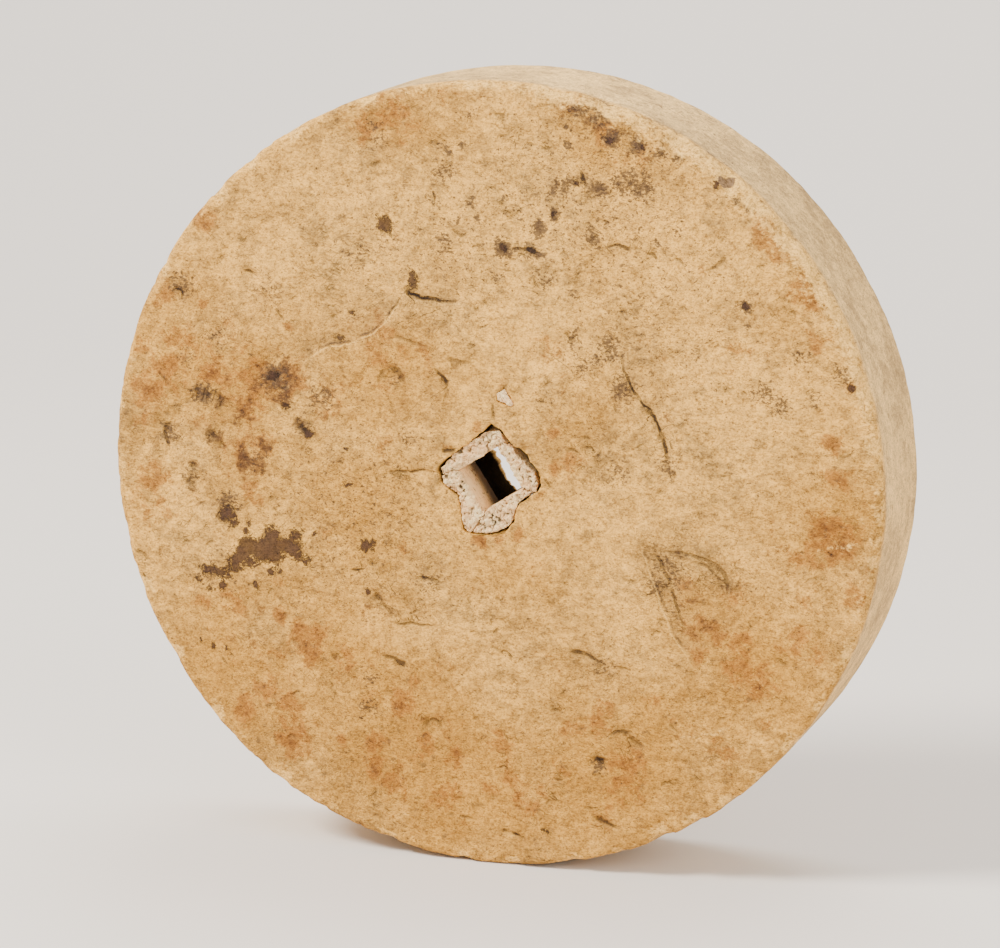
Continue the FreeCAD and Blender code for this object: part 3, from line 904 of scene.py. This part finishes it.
# The mortar's outer edge at the front, anticlockwise from the top, in millimetres from the axis
PACKING_EDGE = [
    (1.4, 26.2), (-2.6, 24.4), (-8.3, 21.3), (-13.2, 17.7), (-18.4, 13.4), (-23.2, 8.9), (-26.8, 3.9),
    (-26.2, -0.6), (-23.6, -4.6), (-20.6, -7.2), (-17, -9.6), (-16.1, -13.4), (-14.8, -21.2),
    (-13.9, -26.2), (-12.2, -28.4), (-1.5, -28.7), (4.7, -27.6), (9.9, -24.6), (13.2, -20.2),
    (14.1, -15), (16.5, -10.1), (20.8, -7.2), (25, -4.6), (26.1, -0.6), (24, 5),
    (20.2, 8.6), (15.9, 12.4), (13.2, 15.8), (9.6, 20), (6.4, 24), (4.2, 26.2),
]
# Each piece: the angle of its first crack at the spindle and at the stone, and of its second
PACKING = {
    "packing_upper_right": ((-12, -14), (78, 66)),
    "packing_upper_left": ((78, 66), (168, 176)),
    "packing_lower_left": ((168, 176), (258, 253)),
    "packing_lower_right": ((258, 253), (348, 346)),
}
# Pits and nicks in the mortar's face: x, z, radius, depth
MORTAR_PITS = [
    (-11.1, 15.2, 1.5, 1.8), (18.3, -4.3, 1.5, 2.4), (15.7, -8.8, 1, 1.4), (7.3, -13.6, 1.3, 1.8),
    (6.2, -17.6, 1, 1.4), (-0.8, -25.6, 1.6, 1.2), (-7, -24.6, 1.5, 1.6), (-18.6, -7.6, 2.2, 2.4),
    (9.2, 20.8, 1.3, 2.2), (11.5, 18, 1, 1.6), (-4.6, 22.4, 1.2, 1.5), (21, 5.5, 1.2, 1),
    (-17, 4.4, 1.2, 0.8), (-14.6, -15, 1.6, 0.9), (12, 12.6, 1.2, 1.2), (-22.6, 0.4, 1.4, 1),
]


def crack_angle(ends, across):
    """The crack's angle from the spindle's corner to its place at the stone, wandering on its way."""
    at = np.stack([9.0 * across, 0 * across + ends[0], 0 * across], -1)
    return np.radians(ends[0] + (ends[1] - ends[0]) * across + 6.0 * rough(at, 2.4, 190, 3))


def packing_piece(name, first, second, seed):
    """A bar of mortar between the spindle's square and the eye, from one crack to the next. Its section
    is a rectangle in radius and depth with each front edge rounded, carried round from crack to crack;
    a point's angle and radius are shares of the way across the bar and along it."""
    u = np.linspace(0, 1, 132)[:, None]
    quarter = np.linspace(0, math.pi / 2, 9)[1:-1]
    # The section, as shares of the way across and of the way back
    section = [(0.0, d) for d in np.linspace(1.0, 0.1, 20)]
    section += [(0.0, 0.1 * (1 - math.sin(q))) for q in quarter]
    section += [(s, 0.0) for s in np.linspace(0.06, 0.94, 24)]
    section += [(1.0, 0.05 * (1 - math.cos(q))) for q in quarter]
    section += [(1.0, d) for d in np.linspace(0.06, 1.0, 12)]
    section += [(s, 1.0) for s in np.linspace(0.9, 0.1, 7)]
    across, deep = np.array(section).T

    begin = crack_angle(first, across)
    angle = begin + (crack_angle(second, across) - begin) * u
    inner = reach(square(SPINDLE_SIDE, SPINDLE_TURN, (0, 0)), angle)
    outer_front = reach(PACKING_EDGE, angle)
    eye_wall = reach(square(EYE_SIDE - 0.2, EYE_TURN, EYE_CENTRE), angle)
    settle = step(deep, 0.1, 0.5)
    outer = outer_front * (1 - settle) + np.minimum(eye_wall + 0.3, outer_front + 2.6) * settle
    # The front edge at the spindle is worn to a slope, most at the lower left.
    slope = 1.2 + 2.6 * np.exp(-((np.degrees(angle) % 360 - 215) / 34) ** 2)
    lip = np.clip(1 - deep * PACKING_DEPTH / slope, 0, 1)
    outer_lip = np.clip(1 - deep * PACKING_DEPTH / 1.1, 0, 1)
    radius = inner + (outer - inner) * across
    radius += slope * (1 - np.sqrt(1 - lip**2)) * (1 - across)
    radius -= 1.1 * (1 - np.sqrt(1 - outer_lip**2)) * across
    across, deep = across + 0 * radius, deep + 0 * radius
    points = radius[..., None] * outwards(angle)
    points[..., 1] = PACKING_FRONT + PACKING_DEPTH * deep

    # The ends stand back from the crack and are rounded over.
    middle = points.mean(axis=1, keepdims=True)
    back_off = np.clip((np.abs(2 * u - 1) - 0.97) / 0.03, 0, 1)[..., None]
    points = middle + (points - middle) * (1 - 0.09 * back_off**2)
    points -= 0.22 * outwards(angle + math.pi / 2) * (2 * u - 1)[..., None]

    flat, across, deep = points.reshape(-1, 3), across.ravel(), deep.ravel()
    toward_front = step(-deep, -0.2, 0.0)
    front_lift = 1.1 + 0.9 * np.cos(np.arctan2(flat[:, 2], flat[:, 0]) - math.radians(232))
    lumps = rough(flat, 5.5, seed, 3) + 1.05 * rough(flat, 2.1, seed + 5, 3)
    torn = 1.3 * step(np.abs(rough(flat, 5.0, seed + 12, 3)), 0.0, 0.16) - 1.3
    torn *= step(rough(flat, 6.0, seed + 14, 2), 0.0, 0.4)
    rise = (front_lift - 1.2 + lumps + torn) * toward_front
    for x, z, size, sink in MORTAR_PITS:
        far = np.hypot(flat[:, 0] - x, flat[:, 2] - z) / size
        rise -= sink * np.exp(-(far**2)) * toward_front
    flat[:, 1] -= np.minimum(rise, 1.2)
    sideways = 0.95 * rough(flat, 3.2, seed + 9, 3) * (0.16 + 0.84 * toward_front) * (2 * across - 1)
    flat += outwards(angle).reshape(-1, 3) * sideways[:, None]

    piece = closed_grid(name + "_cast", flat.reshape(points.shape), wrap_rings=False)
    sunk = step(-(lumps + torn), 0.3, 1.4) * toward_front
    # The face against the spindle's print darkens deeper into the eye: painted shade.
    inner_shade = np.clip(1.3 * (1 - across) - 0.3, 0, 1) * step(deep, 0.30, 1.0)
    print_share = (1 - across) * (1 - toward_front)
    add_layer(piece, "cast", print_share, toward_front, np.maximum(sunk, 1.1 * inner_shade))
    piece.data.materials.append(mortar)
    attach(piece, "root")
    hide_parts(name)


MORTAR_LIGHT = rgb(255, 224, 165)
MORTAR_DEEP = rgb(243, 192, 130)
MORTAR_PRINT = rgb(252, 212, 150)
MORTAR_DIRT_AND_SHADE = rgb(52, 38, 26)


def lime_mortar():
    """Cream lime with sand in it: light and tan grains, dark specks, darker hollows, and painted shade
    deepening along its inner face into the eye.
    """
    finish = Finish("lime_mortar")
    print_at, unused, sunk_and_shade_at = finish.layer("cast")
    lumps = finish.grain(2.0, 5, 0.7, warp=0.5)
    tone = 0.6 * lumps + 0.4 * finish.grain(7, 3, 0.55)
    finish.colour = finish.mix(tone.rise(0.4, 0.62), MORTAR_DEEP, MORTAR_LIGHT)
    finish.lay(MORTAR_PRINT, 0.6 * print_at)
    specks = finish.grain(0.9, 3, 0.7).rise(0.58, 0.68, top=0.75)
    finish.lay(MORTAR_DIRT_AND_SHADE, specks * (1 - 0.7 * print_at))
    darker_hollows_and_shade = sunk_and_shade_at + lumps.rise(0.34, 0.46, 0.7, 0.0)
    finish.lay(MORTAR_DIRT_AND_SHADE, darker_hollows_and_shade.rise(0.1, 1.0, top=0.85))
    height = 0.8 * lumps + 0.2 * finish.grain(0.5, 2, 0.7)
    return finish.done(0.92, 0.2, height * (1 - 0.45 * print_at), 1.7)


mortar = lime_mortar()
for number, (piece_name, (first_crack, second_crack)) in enumerate(PACKING.items()):
    packing_piece(piece_name, first_crack, second_crack, 200 + 20 * number)

# ---------------------------------------------------------------------------------------------------
# The dab.
# A splash of the packing mortar that set in a pit above the eye. Its face has broken off level.

DAB_EDGE = [
    (-4, 1.5), (-1.6, 3), (0, 4.2), (1.4, 2.6), (1.8, 1), (3.6, -1.2), (5.2, -3.4),
    (3.6, -5), (0.4, -3.2), (-3.8, -2),
]


def dab_piece():
    """A lump on the pit's outline: rings run out over its face, down its side and in under it."""
    front, back = (corner.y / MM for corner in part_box("mortar_dab"))
    angle = np.linspace(0, math.tau, 96, endpoint=False)
    edge = 1.04 * reach(DAB_EDGE, angle)
    edge += 0.35 * rough(edge[:, None] * outwards(angle), 2.5, 307, 2)
    # The rings, as shares of the way out and of the way back
    rings = [(s, 0.0) for s in np.linspace(0.03, 0.9, 22)]
    turns = np.linspace(0.2, math.pi / 2, 7)
    rings += [(0.9 + 0.1 * math.sin(t), 0.22 * (1 - math.cos(t))) for t in turns]
    rings += [(1.0, d) for d in np.linspace(0.3, 0.95, 6)]
    rings += [(s, 1.0) for s in np.linspace(0.95, 0.05, 8)]
    out, down = np.array(rings).T[:, :, None]
    points = (out * edge)[..., None] * outwards(angle)
    points += [PIT_CENTRE[0], 0, PIT_CENTRE[1]]
    points[..., 1] = front + (back - front) * down
    flat = points.reshape(-1, 3)
    top = (1 - np.clip(3 * down + 0 * edge, 0, 1)).ravel()
    flat[:, 1] -= top * (0.7 * rough(flat, 3.2, 301, 3) + 0.4 * rough(flat, 1.3, 305, 2) + 0.35)
    piece = closed_grid("dab_cast", points, wrap_rings=False)
    add_layer(piece, "cast", 0 * top, top, 0 * top)
    return piece


dab = dab_piece()
dab.data.materials.append(mortar)
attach(dab, "root")
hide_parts("mortar_dab")

# ---------------------------------------------------------------------------------------------------
# Where it stands: a pale floor that curves up behind into a pale wall, under soft studio light.
# None of this is part of the object.


def backdrop():
    """A sheet carried along X: flat at the wheel's foot, then a quarter round, then upright."""
    floor_level = cad_low.z
    run = [(-6.0, 0.0)] + [(y, 0.0) for y in np.linspace(-5.0, 1.2, 14)]
    bend = 1.6
    run += [(1.2 + bend * math.sin(t), bend * (1 - math.cos(t))) for t in np.linspace(0.1, math.pi / 2, 16)]
    run += [(1.2 + bend, bend + h) for h in (0.5, 1.5, 3.0)]
    across = np.linspace(-7, 7, 9)
    points = np.array([[(x, y, floor_level + h) for x in across] for y, h in run])
    rings, columns = points.shape[:2]
    i, j = np.meshgrid(np.arange(rings - 1), np.arange(columns - 1), indexing="ij")
    corner = i * columns + j
    faces = np.stack([corner, corner + 1, corner + columns + 1, corner + columns], -1).reshape(-1, 4)
    mesh = bpy.data.meshes.new("backdrop")
    mesh.from_pydata(points.reshape(-1, 3).tolist(), [], faces.tolist())
    mesh.polygons.foreach_set("use_smooth", np.ones(len(mesh.polygons), bool))
    sheet = bpy.data.objects.new("backdrop", mesh)
    bpy.context.scene.collection.objects.link(sheet)
    paper = bpy.data.materials.new("backdrop_paper")
    paper.use_nodes = True
    paper.node_tree.nodes["Principled BSDF"].inputs["Base Color"].default_value = (*rgb(226, 218, 208), 1)
    paper.node_tree.nodes["Principled BSDF"].inputs["Roughness"].default_value = 0.9
    sheet.data.materials.append(paper)
    return sheet


def soft_box(name, place_at, aim, width, height, watts, tint):
    """A rectangular studio light that faces its aim."""
    lamp = bpy.data.lights.new(name, "AREA")
    lamp.shape = "RECTANGLE"
    lamp.size, lamp.size_y = width, height
    lamp.energy = watts
    lamp.color = tint
    light = bpy.data.objects.new(name, lamp)
    away = Vector(place_at) - Vector(aim)
    light.rotation_euler = away.to_track_quat("Z", "Y").to_euler()
    light.location = place_at
    bpy.context.scene.collection.objects.link(light)


backdrop()
soft_box("key_light", (-2.0, -1.5, 2.3), (0, 0, 0), 1.0, 0.8, 218, (1.0, 0.97, 0.93))
soft_box("fill_light", (2.2, -1.6, 1.2), (0, 0, 0), 1.8, 1.8, 58, (1.0, 0.98, 0.96))
soft_box("top_light", (0.2, 0.9, 2.4), (0, 0.3, 0), 2.0, 1.2, 50, (1.0, 1.0, 1.0))
world = bpy.data.worlds.new("studio")
world.use_nodes = True
world.node_tree.nodes["Background"].inputs["Color"].default_value = (0.95, 0.97, 1.0, 1)
world.node_tree.nodes["Background"].inputs["Strength"].default_value = 0.84
bpy.context.scene.world = world

# The camera stands to the right of the axis and looks a little down at the wheel's middle.
CAMERA_AIM = (6.3 * MM, -39.0 * MM, 3.9 * MM)
CAMERA_DISTANCE = 2.0894
CAMERA_BEARING = 17.905
CAMERA_HEIGHT = 12.573
CAMERA_LENS = 144.0
bearing, height = math.radians(CAMERA_BEARING), math.radians(CAMERA_HEIGHT)
level = math.cos(height)
look = Vector((-math.sin(bearing) * level, math.cos(bearing) * level, -math.sin(height)))
camera = bpy.data.objects.new("camera", bpy.data.cameras.new("camera"))
camera.data.lens = CAMERA_LENS
camera.data.sensor_width = 36.0
camera.location = Vector(CAMERA_AIM) - CAMERA_DISTANCE * look
camera.rotation_euler = look.to_track_quat("-Z", "Y").to_euler()
bpy.context.scene.collection.objects.link(camera)
bpy.context.scene.camera = camera
